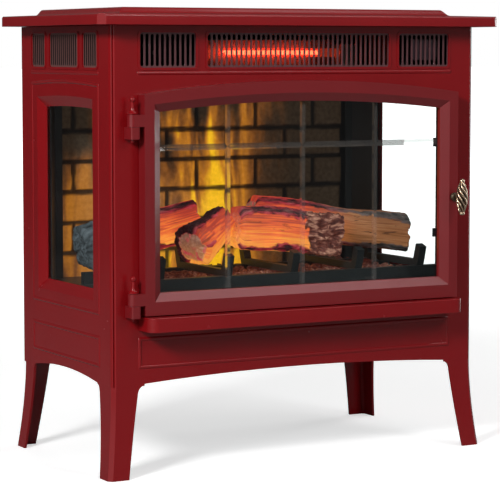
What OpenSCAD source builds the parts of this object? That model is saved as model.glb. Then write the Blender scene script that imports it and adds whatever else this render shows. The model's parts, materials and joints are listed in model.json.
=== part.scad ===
// Freestanding electric stove: a painted steel cabinet on four flared legs, with an
// arched glass door, side windows, a log set, a flame rotor, a quartz heater and a blower.
// Millimetres, +Z up, the front faces -Y, the origin is on the floor under the middle.

/* [Cabinet] */
// Width of the top slab
top_w = 610; // [604:1:630]
// Depth of the top slab
top_d = 320; // [318:1:332]
// Height of the slab's straight edge
top_edge = 14; // [12:1:18]
// Rise of the slab's raised centre above its edge
top_rise = 9.5; // [7:0.5:12]
// Thickness of the slab's sheet
slab_t = 1.5; // [1:0.1:3]
// Slab overhang past the cabinet's front
front_overhang = 26; // [22:1:28]
// Width of the cabinet
cab_w = 556; // [552:1:560]
// Depth of the cabinet
cab_d = 289; // [286:1:292]
// Height of the slab's underside above the floor
cab_top = 585.5; // [584:0.5:590]
// Sheet steel thickness of the panels
sheet = 1.2; // [1:0.1:1.6]
// Radius of the cabinet's upright front corners
corner_r = 7.5; // [6:0.5:9]

/* [Legs] */
// Height of the seam between legs and cabinet
leg_h = 120; // [110:1:125]
// How far each foot flares outward, both ways
leg_flare = 9.5; // [6:0.5:12]
// Width of a leg's front face at the seam
leg_top_w = 45; // [42:1:48]
// Width of a leg's front face at the foot
leg_foot_w = 28.5; // [26:0.5:32]
// Wall of the cast leg
leg_wall = 3.5; // [3:0.1:4.5]

/* [Door] */
// Width of the door
door_w = 480; // [476:1:482]
// Thickness of the door frame
door_t = 18; // [17:0.5:20]
// Height of the door's bottom edge
door_bottom = 213; // [212.8:0.1:215]
// Height of the door's arched top
door_top = 513.3; // [512:0.1:515]
// Width of the glazed opening
glazed_w = 430; // [424:1:432]
// Width of the sloping bevel round the opening
bevel_w = 11; // [9:0.5:12]
// Depth of the sloping bevel
bevel_d = 8; // [6:0.5:9]
// Thickness of the door glass
glass_t = 4; // [4:0.1:4.1]
// Distance from the door's face to the front of its handle
handle_reach = 30.5; // [30:0.5:32]

/* [Side windows] */
// Half width of a side window
window_hw = 76; // [70:1:78]
// Height of a side window's bottom edge
window_bottom = 242; // [240:1:250]
// Height of a side window's arched top
window_top = 479; // [470:1:480]

/* [Fire] */
// Diameter of the flame rotor's shaft
rotor_shaft_d = 6; // [5:0.5:8]
// Number of bright vanes on the flame rotor
vane_count = 12; // [6:1:14]
// Length of one brick and its joint
brick_pitch_x = 97; // [90:1:100]
// Height of one brick and its joint
brick_pitch_z = 42.8; // [40:0.1:44]

/* [Heater and blower] */
// Height of the quartz tube
tube_z = 550; // [546:1:552]
// Length of the quartz tube
tube_l = 230; // [220:1:236]
// Outer radius of the blower wheel
wheel_r = 24; // [20:1:25]
// Number of blades on the blower wheel
blade_count = 28; // [16:1:32]

/* [Hidden] */
$fn = 48;
ARC_FN = 720;
// Fits: static parts stand this far apart, and pins run this loose in their bores
gap = 0.3;
run = 0.05;

// The front planes, rear planes and their distances from the origin
door_gap = 2;
cab_hw = cab_w / 2;
front_reach = door_gap + door_t + handle_reach;
cab_front = front_reach - (front_reach + cab_d + leg_flare) / 2;
cab_rear = cab_front + cab_d;
slab_front = cab_front - front_overhang;
slab_rear = slab_front + top_d;
door_back = cab_front - door_gap;
door_face = door_back - door_t;
panel_back = cab_front + sheet;
side_face = -cab_hw;
side_mid = 23;
corner_x = cab_hw - corner_r;
corner_y = cab_front + corner_r;
panel_edge = cab_hw - 6.2;
lip_r = 2.5;
height = cab_top + top_edge + top_rise;

// The door's outline: every edge arc shares one centre
door_hw = door_w / 2;
door_arc = 1723;
glazed_hw = glazed_w / 2;
glazed_bottom = 241.5;
glazed_top = 486.5;
glazed_arc = 1938;
rebate = 7;
glass_front = door_back - glass_t - 0.2;
groove_w = 8;
groove_d = 1.2;
groove_x = 113;
groove_z = 428;
frame_mouth = 11;

// The hinge pins and the handle
pin_x = -254;
pin_y = door_face + 7;
pin_r = 3;
knuckle_r = 7;
knuckle_bottom = 455.8;
knuckle_top = 471.3;
bracket_bottom = 440.2;
hinge_drop = 229.4;
handle_x = 232;
handle_z = 352;
grip_r = 8.5;
grip_y = door_face - handle_reach + grip_r;
stem_r = 4;
cam_y = panel_back + 1.7;
cam_t = 2;
cam_l = 18;
notch_hw = 20;

// Embossed lines, grilles and the arched lower edge
rib_w = 5;
rib_h = 1.2;
grille_bottom = 531;
grille_top = 576;
slot_share = 0.6;
vent_pitch = 12;
vent_hw = 2.5;
upper_vents = [549, 575];
lower_vents = [145, 175];
bead_z = 524;
apron_hw = 238.5;
apron_bottom = 144.5;
apron_top = 181;
arch_hw = 232;
arch_rise = 8;
window_arc = 1400;
window_bevel = 14;
tub_d = bevel_d + sheet;
side_frame_hw = 107;
side_frame_bottom = 213;
side_frame_top = 512;
side_frame_arc = 1433;
ledge_bottom = 192.5;
ledge_top = 211.5;
ledge_reach = 37;
ledge_hw = 241;
ledge_r = 13;

// The firebox
fire_floor = 235;
fire_ceiling = 513;
flange_top = 580;
liner_x = 262;
brick_hw = 229;
brick_y = 150;
brick_back = brick_y + 5;
rear_y = cab_rear - sheet - gap;
pan_z = 132;
rail_h = 15;
bar_w = 11;
bar_x = [-188, -86, 16, 118, 220];
bar_bottom = fire_floor + sheet + rail_h + 0.1;
bar_h = 9;
bar_front = -78;
bar_rear = 57;
finger_top = 283;

// The flame drive in the base
rotor_y = 103;
rotor_z = 186;
rotor_r = rotor_shaft_d / 2;
rotor_l = 330;
rotor_support_x = 150;

// The heater in the head
tube_y = -38;
tube_r = 6;
duct_hw = 150;
duct_bottom = 526;
duct_top = 581;
duct_rear = 8;
wheel_y = 62;
wheel_l = 220;
shaft_r = 3;
plate_x = 200;
plate_z = 548;
plate_w = 116;
plate_h = 48;
button_r = 4.5;
button_x = [175, 195, 215];
rocker_x = 240;
rocker_tilt = 8;
gland_x = -205;
gland_z = 165;
gland_bore = 3.6;

paint = [0.42, 0.04, 0.06];
paint_dark = [0.24, 0.05, 0.06];
iron = [0.10, 0.10, 0.11];
steel = [0.62, 0.63, 0.65];
bronze = [0.45, 0.36, 0.26];
bark = [0.42, 0.20, 0.12];

// ---- Helpers ----

// A flat shape in X and Z, t thick behind the plane y
module front(y, t) {
    translate([0, y + t, 0]) rotate([90, 0, 0]) linear_extrude(t) children();
}

// A flat shape in Y and Z, t thick to the right of the plane x
module lateral(x, t) {
    translate([x, 0, 0]) rotate([90, 0, 90]) linear_extrude(t) children();
}

module box(low, high) {
    translate(low) cube(high - low);
}

module rod_x(x0, x1, y, z, r) {
    translate([x0, y, z]) rotate([0, 90, 0]) cylinder(h = x1 - x0, r = r);
}

module rod_y(y0, y1, x, z, r) {
    translate([x, y0, z]) rotate([-90, 0, 0]) cylinder(h = y1 - y0, r = r);
}

module rod_z(z0, z1, x, y, r) {
    translate([x, y, z0]) cylinder(h = z1 - z0, r = r);
}

module mirrored() {
    children();
    mirror([1, 0, 0]) children();
}

// Puts a shape drawn facing -Y onto the left side, where it faces -X
module on_left() {
    translate([0, side_mid, 0]) rotate([0, 0, -90]) children();
}

module on_right() {
    mirror([1, 0, 0]) on_left() children();
}

// A rectangle from (x0, z0) to (x1, z1) with round corners
module round_rect(x0, z0, x1, z1, r) {
    translate([x0 + r, z0]) square([x1 - x0 - 2 * r, z1 - z0]);
    translate([x0, z0 + r]) square([x1 - x0, z1 - z0 - 2 * r]);
    for (x = [x0 + r, x1 - r], z = [z0 + r, z1 - r])
        translate([x, z]) circle(r);
}

// An upright slot with rounded ends, hw either side of x
module slot(x, z0, z1, hw) {
    polygon(concat(
        [for (a = [0 : 30 : 180]) [x + hw * cos(a), z1 - hw + hw * sin(a)]],
        [for (a = [180 : 30 : 360]) [x + hw * cos(a), z0 + hw + hw * sin(a)]]));
}

// An upright outline, half width hw, whose top is an arc of radius r
module arched(hw, bottom, top, r) {
    intersection() {
        translate([-hw, bottom]) square([2 * hw, top - bottom + 1]);
        translate([0, top - r]) circle(r, $fn = ARC_FN);
    }
}

// Everything under a shallow arch, for cutting the cabinet's lower edge
module under_arch(mid, hw, edge_z, mid_z) {
    rise = mid_z - edge_z;
    r = (hw * hw + rise * rise) / (2 * rise);
    intersection() {
        translate([mid - hw, edge_z - 10]) square([2 * hw, rise + 11]);
        translate([mid, mid_z - r]) circle(r, $fn = ARC_FN);
    }
}

// Cuts an arched opening with a sloping bevel w wide and d deep in from the face
module bevelled_opening(face, d, w, hw, bottom, top, r) {
    slope = w / d;
    near = face - 1;
    far = face + d + 1;
    front(near, d + 40) arched(hw, bottom, top, r);
    intersection() {
        linear_extrude(height)
            polygon([[-hw - w - slope, near], [hw + w + slope, near],
                [hw - slope, far], [-hw + slope, far]]);
        lateral(-hw - 2 * w, 2 * hw + 4 * w)
            polygon([[near, bottom - w - slope], [far, bottom + slope],
                [far, height], [near, height]]);
        translate([0, near, top - r]) rotate([-90, 0, 0])
            cylinder(h = far - near, r1 = r + w + slope, r2 = r - slope, $fn = ARC_FN);
    }
}

// The round bar whose cap stands out of a face as an embossed line
function rib_r() = (rib_w * rib_w / 4 + rib_h * rib_h) / (2 * rib_h);

module rib(face, x0, z0, x1, z1) {
    y = face + rib_r() - rib_h;
    intersection() {
        union() {
            if (x1 > x0) rod_x(x0, x1, y, z0, rib_r());
            if (z1 > z0) rod_z(z0, z1, x0, y, rib_r());
            translate([x0, y, z0]) sphere(rib_r());
            translate([x1, y, z1]) sphere(rib_r());
        }
        box([x0 - rib_w, face - 2 * rib_h, z0 - rib_w],
            [x1 + rib_w, face + sheet / 2, z1 + rib_w]);
    }
}

// A raised rim round a grille window
module grille_rim(face, x0, x1) {
    front(face - 1, 1 + sheet / 2) difference() {
        round_rect(x0 - 3, grille_bottom - 3, x1 + 3, grille_top + 3, 6);
        round_rect(x0, grille_bottom, x1, grille_top, 4);
    }
}

module grille_window(face, x0, x1) {
    front(face - 2, 10) round_rect(x0, grille_bottom, x1, grille_top, 4);
}

// A grille plate with upright slots, n to a window
module grille_plate(face, windows, counts) {
    front(face, 1) difference() {
        translate([windows[0][0] - 6, grille_bottom - 6])
            square([windows[len(windows) - 1][1] - windows[0][0] + 12,
                grille_top - grille_bottom + 11]);
        for (i = [0 : len(windows) - 1]) {
            x0 = windows[i][0];
            pitch = (windows[i][1] - x0) / counts[i];
            for (k = [0 : counts[i] - 1])
                slot(x0 + (k + 0.5) * pitch, grille_bottom + 2, grille_top - 2,
                    pitch * slot_share / 2);
        }
    }
}

front_windows = [[-237, -156], [-139.5, 139.5], [155, 236]];
side_windows = [[-106, -61], [-46, 46], [61, 106]];

// ---- Cabinet ----

// Height of the slab's top at distance d in from its edge
slab_profile = concat(
    [for (a = [0 : 15 : 90]) [3 - 3 * cos(a), top_edge - 3 + 3 * sin(a)]],
    [[50, top_edge + 1.6]],
    [for (t = [0.1 : 0.1 : 1]) [50 + 11 * t,
        top_edge + 1.6 + (top_rise - 1.6) * (1 - cos(180 * t)) / 2]]);

module slab_section(w, open_back) {
    n = len(slab_profile) - 1;
    rear = open_back ? [[w, top_edge + top_rise], [w, 0]]
        : [for (i = [n : -1 : 0]) [w - slab_profile[i][0], slab_profile[i][1]]];
    polygon(concat([[0, 0]], slab_profile, rear, [[w, 0]]));
}

module slab_outline(inset) {
    cut = 9 - inset * 0.4;
    hw = top_w / 2 - inset;
    y0 = slab_front + inset;
    polygon([[-hw, slab_rear - inset], [-hw, y0 + cut], [-hw + cut, y0],
        [hw - cut, y0], [hw, y0 + cut], [hw, slab_rear - inset]]);
}

module top_panel() {
    color(paint) difference() {
        intersection() {
            translate([0, slab_rear, cab_top]) rotate([90, 0, 0])
                linear_extrude(top_d) translate([-top_w / 2, 0]) slab_section(top_w, false);
            lateral(-top_w / 2, top_w) translate([slab_front, cab_top])
                slab_section(top_d, true);
            translate([0, 0, cab_top - 1]) linear_extrude(height) slab_outline(0);
        }
        translate([0, 0, cab_top - 1]) linear_extrude(top_edge + 1 - slab_t)
            slab_outline(slab_t);
        box([-top_w / 2 + 63, slab_front + 63, cab_top],
            [top_w / 2 - 63, slab_rear - slab_t, height - slab_t]);
    }
}

module front_corner() {
    translate([-panel_edge, cab_front + lip_r]) intersection() {
        difference() {
            circle(lip_r);
            circle(lip_r - sheet);
        }
        translate([-lip_r, -lip_r]) square(lip_r);
    }
    translate([-panel_edge - lip_r, cab_front + lip_r]) square([sheet, 8]);
}

module front_panel() {
    color(paint) difference() {
        union() {
            translate([0, 0, leg_h]) linear_extrude(cab_top - leg_h - gap) {
                translate([-panel_edge, cab_front]) square([2 * panel_edge, sheet]);
                front_corner();
                mirror([1, 0]) front_corner();
            }
            for (w = front_windows) grille_rim(cab_front, w[0], w[1]);
            rib(cab_front, -apron_hw, bead_z, apron_hw, bead_z);
            rib(cab_front, -apron_hw, apron_bottom, apron_hw, apron_bottom);
            rib(cab_front, -apron_hw, apron_top, apron_hw, apron_top);
            for (x = [-apron_hw, apron_hw]) rib(cab_front, x, apron_bottom, x, apron_top);
        }
        for (w = front_windows) grille_window(cab_front, w[0], w[1]);
        front(cab_front - 5, 20) {
            arched(glazed_hw + frame_mouth, 229, 499, glazed_arc + frame_mouth);
            under_arch(0, arch_hw, 122.5, 122.5 + arch_rise);
            translate([glazed_hw, handle_z - notch_hw]) square([23.5, 2 * notch_hw]);
        }
        for (z = [0, hinge_drop]) rod_y(cab_front - 5, cab_front + 5, pin_x,
            (bracket_bottom + knuckle_bottom) / 2 - z, 3.3);
    }
}

// Plan section of the left side panel: sheet, rear flange and rounded front corner
module side_section() {
    translate([side_face, corner_y]) square([sheet, cab_rear - corner_y]);
    translate([side_face, cab_rear - sheet]) square([16, sheet]);
    translate([-corner_x, corner_y]) intersection() {
        difference() {
            circle(corner_r);
            circle(corner_r - sheet);
        }
        polygon([[0, 0], [-2 * corner_r, 0], [-2 * corner_r, -2 * corner_r]]);
    }
}

module side_ribs() {
    rib(side_face, -side_frame_hw, bead_z, side_frame_hw, bead_z);
    for (z = [apron_bottom, apron_top])
        rib(side_face, -side_frame_hw, z, side_frame_hw, z);
    for (x = [-side_frame_hw, side_frame_hw]) {
        rib(side_face, x, apron_bottom, x, apron_top);
        rib(side_face, x, side_frame_bottom, x, side_frame_top - 4);
    }
    rib(side_face, -side_frame_hw, side_frame_bottom, side_frame_hw, side_frame_bottom);
    half_angle = asin(side_frame_hw / side_frame_arc);
    intersection() {
        translate([0, side_face + rib_r() - rib_h, side_frame_top - side_frame_arc])
            rotate([90, 0, 0]) rotate([0, 0, 90 - half_angle])
            rotate_extrude(angle = 2 * half_angle, $fn = ARC_FN)
            translate([side_frame_arc, 0]) circle(rib_r(), $fn = 32);
        box([-cab_hw, side_face - 2 * rib_h, 0], [cab_hw, side_face + sheet / 2, height]);
    }
}

module left_panel_body() {
    difference() {
        union() {
            translate([0, 0, leg_h]) linear_extrude(cab_top - leg_h - gap) side_section();
            on_left() {
                front(side_face, tub_d) arched(window_hw + window_bevel + 2,
                    window_bottom - window_bevel - 2, window_top + window_bevel + 2,
                    window_arc + window_bevel + 2);
                side_ribs();
                for (w = side_windows) grille_rim(side_face, w[0], w[1]);
            }
        }
        on_left() {
            bevelled_opening(side_face, bevel_d, window_bevel, window_hw,
                window_bottom, window_top, window_arc);
            for (w = side_windows) grille_window(side_face, w[0], w[1]);
        }
        lateral(side_face - 5, 20) under_arch(side_mid + 1.5, 102, 121.3, 129.2);
        for (z = screw_heights)
            rod_y(cab_rear - 5, cab_rear + 5, -screw_x, z, screw_r + 0.2);
    }
}

module left_side_panel() {
    color(paint) left_panel_body();
}

module right_side_panel() {
    color(paint) mirror([1, 0, 0]) left_panel_body();
}

screw_x = cab_hw - 10;
screw_r = 1.8;
screw_heights = [150, 260, 370, 480, 570];

module rear_panel() {
    color(iron) difference() {
        box([-cab_hw + sheet + gap, rear_y - sheet, leg_h + 1],
            [cab_hw - sheet - gap, rear_y, cab_top - gap]);
        for (x = [-screw_x, screw_x], z = screw_heights)
            rod_y(rear_y - 5, rear_y + 5, x, z, screw_r + 0.2);
        rod_y(rear_y - 5, rear_y + 5, gland_x, gland_z, 8.2);
        front(rear_y - 5, 10) {
            round_rect(plate_x - plate_w / 2 + 6, plate_z - plate_h / 2 + 5,
                plate_x + plate_w / 2 - 6, plate_z + plate_h / 2 - 5, 3);
            for (x = [-188 : vent_pitch : -116]) slot(x, upper_vents[0], upper_vents[1], vent_hw);
            for (x = [-68 : vent_pitch : 104]) slot(x, upper_vents[0], upper_vents[1], vent_hw);
            for (x = [-144 : vent_pitch : 144]) slot(x, lower_vents[0], lower_vents[1], vent_hw);
        }
    }
}

module base_pan() {
    color(iron) difference() {
        box([-panel_edge + gap, panel_back + gap, pan_z],
            [panel_edge - gap, rear_y - sheet - gap, pan_z + sheet]);
        leg_places() bolt_places() rod_z(pan_z - 5, pan_z + 5, 0, 0, bolt_r + 0.2);
        for (x = [-60 : vent_pitch : 60]) translate([0, 0, pan_z - 5])
            linear_extrude(10) slot(x, 20, 60, vent_hw);
    }
}

module ledge_outline(inset) {
    hw = ledge_hw - inset;
    y0 = cab_front - ledge_reach + inset;
    r = ledge_r - inset;
    translate([-hw, y0 + r]) square([2 * hw, ledge_reach - r - inset]);
    translate([-hw + r, y0]) square([2 * (hw - r), ledge_reach - inset]);
    for (x = [-hw + r, hw - r]) translate([x, y0 + r]) circle(r);
}

module hearth_ledge() {
    color(paint) difference() {
        translate([0, -gap, ledge_bottom]) linear_extrude(ledge_top - ledge_bottom)
            ledge_outline(0);
        translate([0, -gap, ledge_bottom - 1]) linear_extrude(ledge_top - ledge_bottom - 1.5)
            ledge_outline(2.5);
    }
}

// ---- Legs ----

bolt_r = 3;
neck_w = 36;
neck_drop = 13;
corner_cut = 5;

function flare_at(t) = leg_flare * pow(1 - t, 1.7);

function outer_edge(shift, k) =
    [for (t = [0 : 0.1 : 1]) [shift - k * flare_at(t), leg_h * t]];

// One face of a leg in profile, w wide at the seam and foot wide at the floor
module leg_face(w, neck, foot) {
    inner = [for (a = [90 : -15 : 0])
        [neck + (w - neck) * (1 - cos(a)), leg_h - neck_drop * (1 - sin(a))]];
    polygon(concat(outer_edge(0, 1), inner, [[foot - leg_flare, 0]]));
}

// Everything inside the leg's two outer faces and its corner chamfer
module leg_inside(shift) {
    reach = 200;
    translate([0, reach, 0]) rotate([90, 0, 0]) linear_extrude(2 * reach)
        polygon(concat(outer_edge(shift, 1), [[reach, leg_h], [reach, 0]]));
}

module leg_region(shift) {
    intersection() {
        leg_inside(shift);
        mirror([1, -1, 0]) leg_inside(shift);
        rotate([0, 0, 45]) leg_chamfer(shift);
    }
}

module leg_chamfer(shift) {
    reach = 200;
    d = corner_cut / sqrt(2) + shift;
    translate([0, reach, 0]) rotate([90, 0, 0]) linear_extrude(2 * reach)
        polygon(concat(outer_edge(d, sqrt(2)), [[reach, leg_h], [reach, 0]]));
}

// A leg with its outer corner at the origin and its faces towards -X and -Y
module leg(side_w, side_neck, side_foot, tongue_y) {
    reach = 200;
    color(paint) difference() {
        union() {
            difference() {
                intersection() {
                    leg_region(0);
                    translate([0, reach, 0]) rotate([90, 0, 0]) linear_extrude(2 * reach)
                        leg_face(leg_top_w, neck_w, leg_foot_w);
                    mirror([1, -1, 0]) translate([0, reach, 0]) rotate([90, 0, 0])
                        linear_extrude(2 * reach) leg_face(side_w, side_neck, side_foot);
                }
                translate([0, 0, -1]) leg_region(leg_wall);
                translate([0, 0, 1]) leg_region(leg_wall);
            }
            box([12, tongue_y, leg_h - 18], [leg_top_w - 14, tongue_y + 3, pan_z - gap]);
            box([2.5, 14, leg_h - 18], [5.5, side_w - 12, pan_z - gap]);
            box([7, tongue_y, pan_z - 3 - gap], [leg_top_w - 14, side_w - 12, pan_z - gap]);
            box([2.5, 14, pan_z - 3 - gap], [8, side_w - 12, pan_z - gap]);
        }
        bolt_places() rod_z(pan_z - 10, pan_z + 1, 0, 0, bolt_r + 0.2);
    }
}

module bolt_places() {
    translate([14, 19, 0]) children();
    translate([25, 13, 0]) children();
}

module front_left() {
    translate([side_face, cab_front, 0]) children();
}

module rear_left() {
    translate([side_face, cab_rear, 0]) mirror([0, 1, 0]) children();
}

module leg_places() {
    mirrored() {
        front_left() children();
        rear_left() children();
    }
}

module front_left_leg() {
    front_left() leg(46, 39, 30, 2);
}

module front_right_leg() {
    mirror([1, 0, 0]) front_left() leg(46, 39, 30, 2);
}

module rear_left_leg() {
    rear_left() leg(38, 33, 29, 4);
}

module rear_right_leg() {
    mirror([1, 0, 0]) rear_left() leg(38, 33, 29, 4);
}

module leg_bolts() {
    color(steel) leg_places() bolt_places() {
        translate([0, 0, pan_z - 3 - 2 * gap - 4]) cylinder(h = 4, r = 5, $fn = 6);
        rod_z(pan_z - 3 - 2 * gap - 1, pan_z + sheet + gap + 4, 0, 0, bolt_r);
        translate([0, 0, pan_z + sheet + gap]) cylinder(h = 4, r = 5, $fn = 6);
    }
}

module panel_screws() {
    color(steel) for (x = [-screw_x, screw_x], z = screw_heights) {
        rod_y(cab_rear + 0.1, cab_rear + 2, x, z, 3.5);
        rod_y(rear_y - 5, cab_rear + 1, x, z, screw_r);
    }
}

// ---- Grilles ----

module left_front_grille() {
    color(paint_dark) grille_plate(panel_back + 0.1, [front_windows[0]], [11]);
}

module centre_front_grille() {
    color(paint_dark) grille_plate(panel_back + 0.1, [front_windows[1]], [38]);
}

module right_front_grille() {
    color(paint_dark) grille_plate(panel_back + 0.1, [front_windows[2]], [11]);
}

module left_side_grille() {
    color(paint_dark) on_left()
        grille_plate(side_face + sheet + 0.1, side_windows, [7, 14, 7]);
}

module right_side_grille() {
    color(paint_dark) on_right()
        grille_plate(side_face + sheet + 0.1, side_windows, [7, 14, 7]);
}

// ---- Door ----

module hinge_places() {
    children();
    translate([0, 0, -hinge_drop]) children();
}

module hinge_brackets() {
    mid = (bracket_bottom + knuckle_bottom) / 2;
    color(paint) hinge_places() difference() {
        union() {
            translate([0, 0, bracket_bottom])
                linear_extrude(knuckle_bottom - gap - bracket_bottom)
                round_rect(pin_x - 6.5, pin_y - 10, pin_x + 6.5, cab_front - 0.1, 2.5);
            rod_y(cab_front - 3, cab_front + 9, pin_x, mid, 3);
            rod_y(cab_front + sheet + 0.2, cab_front + sheet + 5, pin_x, mid, 5.5);
        }
        rod_z(bracket_bottom - 1, knuckle_bottom + 1, pin_x, pin_y, pin_r + run);
    }
}

// Half profile of the hinge pin's finial: a flared dome, a waist and a ball
finial = concat(
    [[0, 0], [6.6, 0], [7.2, 0.7], [7.2, 1.8]],
    [for (a = [15 : 15 : 90]) [7.2 - 4.9 * sin(a), 1.8 + 8.6 * (1 - cos(a))]],
    [[2.1, 13.4]],
    [for (a = [-55 : 15 : 80]) [3.8 * cos(a), 18.9 + 3.8 * sin(a)]],
    [[0, 22.7]]);

module hinge_pins() {
    color(paint) hinge_places() {
        rod_z(bracket_bottom - 2, knuckle_top + 1, pin_x, pin_y, pin_r);
        translate([pin_x, pin_y, bracket_bottom - 2]) sphere(pin_r);
        translate([pin_x, pin_y, knuckle_top + gap]) rotate_extrude() polygon(finial);
    }
}

// The slot round the inside of the frame that lightens it
module frame_pocket() {
    difference() {
        front(door_back - 12, 13) difference() {
            arched(door_hw - 3, door_bottom + 3, door_top - 3, door_arc - 3);
            arched(glazed_hw + frame_mouth, glazed_bottom - frame_mouth,
                glazed_top + frame_mouth, glazed_arc + frame_mouth);
        }
        box([glazed_hw, door_face, handle_z - 14], [door_hw, door_back + 2, handle_z + 14]);
    }
}

module door_frame() {
    color(paint) difference() {
        union() {
            front(door_face, door_t)
                arched(door_hw, door_bottom, door_top, door_arc);
            hinge_places() {
                rod_z(knuckle_bottom, knuckle_top, pin_x, pin_y, knuckle_r);
                box([pin_x, door_face, knuckle_bottom],
                    [-door_hw + 3, pin_y + 6, knuckle_top]);
            }
        }
        bevelled_opening(door_face, bevel_d, bevel_w, glazed_hw,
            glazed_bottom, glazed_top, glazed_arc);
        front(glass_front - 0.2, glass_t + 5)
            arched(glazed_hw + rebate, glazed_bottom - rebate,
                glazed_top + rebate, glazed_arc + rebate);
        frame_pocket();
        hinge_places()
            rod_z(knuckle_bottom - 1, knuckle_top + 1, pin_x, pin_y, pin_r + run);
        rod_y(door_face - 1, door_back + 1, handle_x, handle_z, stem_r + run);
    }
}

module door_glass() {
    hw = glazed_hw + rebate - gap;
    color([0.75, 0.8, 0.8, 0.3]) difference() {
        front(glass_front, glass_t) arched(hw, glazed_bottom - rebate + gap,
            glazed_top + rebate - gap, glazed_arc + rebate - gap);
        for (x = [-groove_x, 0, groove_x]) linear_extrude(height)
            polygon([[x - groove_w / 2, glass_front - 1], [x - groove_w / 2, glass_front],
                [x, glass_front + groove_d], [x + groove_w / 2, glass_front],
                [x + groove_w / 2, glass_front - 1]]);
        lateral(-hw - 1, 2 * hw + 2)
            polygon([[glass_front - 1, groove_z - groove_w / 2],
                [glass_front, groove_z - groove_w / 2], [glass_front + groove_d, groove_z],
                [glass_front, groove_z + groove_w / 2],
                [glass_front - 1, groove_z + groove_w / 2]]);
    }
}

module glass_clips() {
    y = door_back + 0.1;
    color(iron) {
        for (side = [-1, 1], z = [302, 427])
            front(y, 1) translate([side * (glazed_hw + 4) - 8, z - 6]) square([16, 12]);
        for (x = [-110, 110])
            front(y, 1) translate([x - 8, glazed_bottom - 10]) square([16, 14]);
    }
}

// Half profile of the handle's spindle grip with its ball end
grip_profile = concat(
    [[0, -25], [3.5, -24.5]],
    [for (t = [0 : 0.1 : 1]) [4 + (grip_r - 4) * pow(sin(180 * (0.04 + 0.92 * t)), 0.7),
        -23 + 42 * t]],
    [[3, 20.5]],
    [for (a = [-40 : 20 : 80]) [3.4 * cos(a), 22.8 + 3.4 * sin(a)]],
    [[0, 26.2]]);

module door_handle() {
    color(bronze) {
        translate([handle_x, grip_y, handle_z]) rotate_extrude() polygon(grip_profile);
        rod_y(grip_y, door_face - 2, handle_x, handle_z, 3);
        rod_y(door_face - 8, door_face - gap, handle_x, handle_z, 6);
        rod_y(door_face - 3, cam_y + 1, handle_x, handle_z, stem_r);
    }
}

module latch_cam() {
    color(steel) difference() {
        front(cam_y, cam_t) {
            translate([handle_x, handle_z]) circle(7);
            translate([handle_x - 3.5, handle_z - cam_l]) square([7, cam_l]);
        }
        rod_y(cam_y - 1, cam_y + 1 + run, handle_x, handle_z, stem_r + run);
    }
}

module latch_strike() {
    color(steel) front(panel_back + 0.1, 1.2) translate([239.5, handle_z - 10])
        square([13, 20]);
}

// ---- Side windows and firebox ----

module window_glass() {
    front(side_face + tub_d + 0.2, 3) arched(window_hw + 9, window_bottom - 9,
        window_top + 9, window_arc + 9);
}

module left_window() {
    color([0.75, 0.8, 0.8, 0.3]) on_left() window_glass();
}

module right_window() {
    color([0.75, 0.8, 0.8, 0.3]) on_right() window_glass();
}

// Inner side wall: flat beside the window, then folded in to the brick panel
module liner() {
    fold_y = side_mid + window_hw + 4;
    color(iron) difference() {
        translate([0, 0, fire_floor + sheet + 0.1])
            linear_extrude(fire_ceiling - fire_floor - sheet - 0.3) {
            translate([-liner_x - 1.2, panel_back + 2])
                square([1.2, fold_y - panel_back - 2]);
            polygon([[-liner_x - 1.2, fold_y], [-liner_x, fold_y],
                [-brick_hw - 12, brick_y - 12], [-brick_hw - 0.5, brick_y - 12],
                [-brick_hw - 0.5, brick_y - 10.8], [-brick_hw - 13, brick_y - 10.8]]);
        }
        on_left() front(side_face, 40) arched(window_hw + 2, window_bottom - 2,
            window_top + 2, window_arc + 2);
    }
}

module left_liner() {
    liner();
}

module right_liner() {
    mirror([1, 0, 0]) liner();
}

module brick_panel() {
    joint = 7;
    depth = 2.5;
    top_joint = 440.5;
    color([0.3, 0.25, 0.2]) difference() {
        box([-brick_hw, brick_y, fire_floor + sheet + 0.1],
            [brick_hw, brick_back, fire_ceiling - 0.2]);
        for (row = [-4 : 1]) {
            z = top_joint + row * brick_pitch_z;
            shift = (row % 2 == 0) ? -13 : -60.5;
            box([-brick_hw - 1, brick_y - 1, z - joint / 2],
                [brick_hw + 1, brick_y + depth, z + joint / 2]);
            for (k = [-2 : 2]) {
                x = shift + k * brick_pitch_x;
                if (abs(x) < brick_hw - joint)
                    box([x - joint / 2, brick_y - 1, z],
                        [x + joint / 2, brick_y + depth, z + brick_pitch_z]);
            }
        }
    }
}

module firebox_floor() {
    color(iron) difference() {
        box([-liner_x, panel_back + 2, fire_floor],
            [liner_x, rear_y - sheet - 1, fire_floor + sheet]);
        translate([0, 0, fire_floor - 5]) linear_extrude(10) {
            for (k = [-3 : 3]) round_rect(k * 48 - 20, rotor_y - 10, k * 48 + 20,
                rotor_y + 14, 4);
            for (k = [-6 : 6]) round_rect(k * 28 - 5, -38, k * 28 + 5, 32, 4);
        }
    }
}

// The ceiling's upturned flanges keep light from the side grilles out of the head
module firebox_ceiling() {
    color(iron) {
        box([-liner_x, panel_back + 2, fire_ceiling],
            [liner_x, rear_y - sheet - 1, fire_ceiling + sheet]);
        for (x = [-liner_x, liner_x - sheet])
            box([x, panel_back + 8, fire_ceiling],
                [x + sheet, rear_y - sheet - 1, flange_top]);
    }
}

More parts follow.
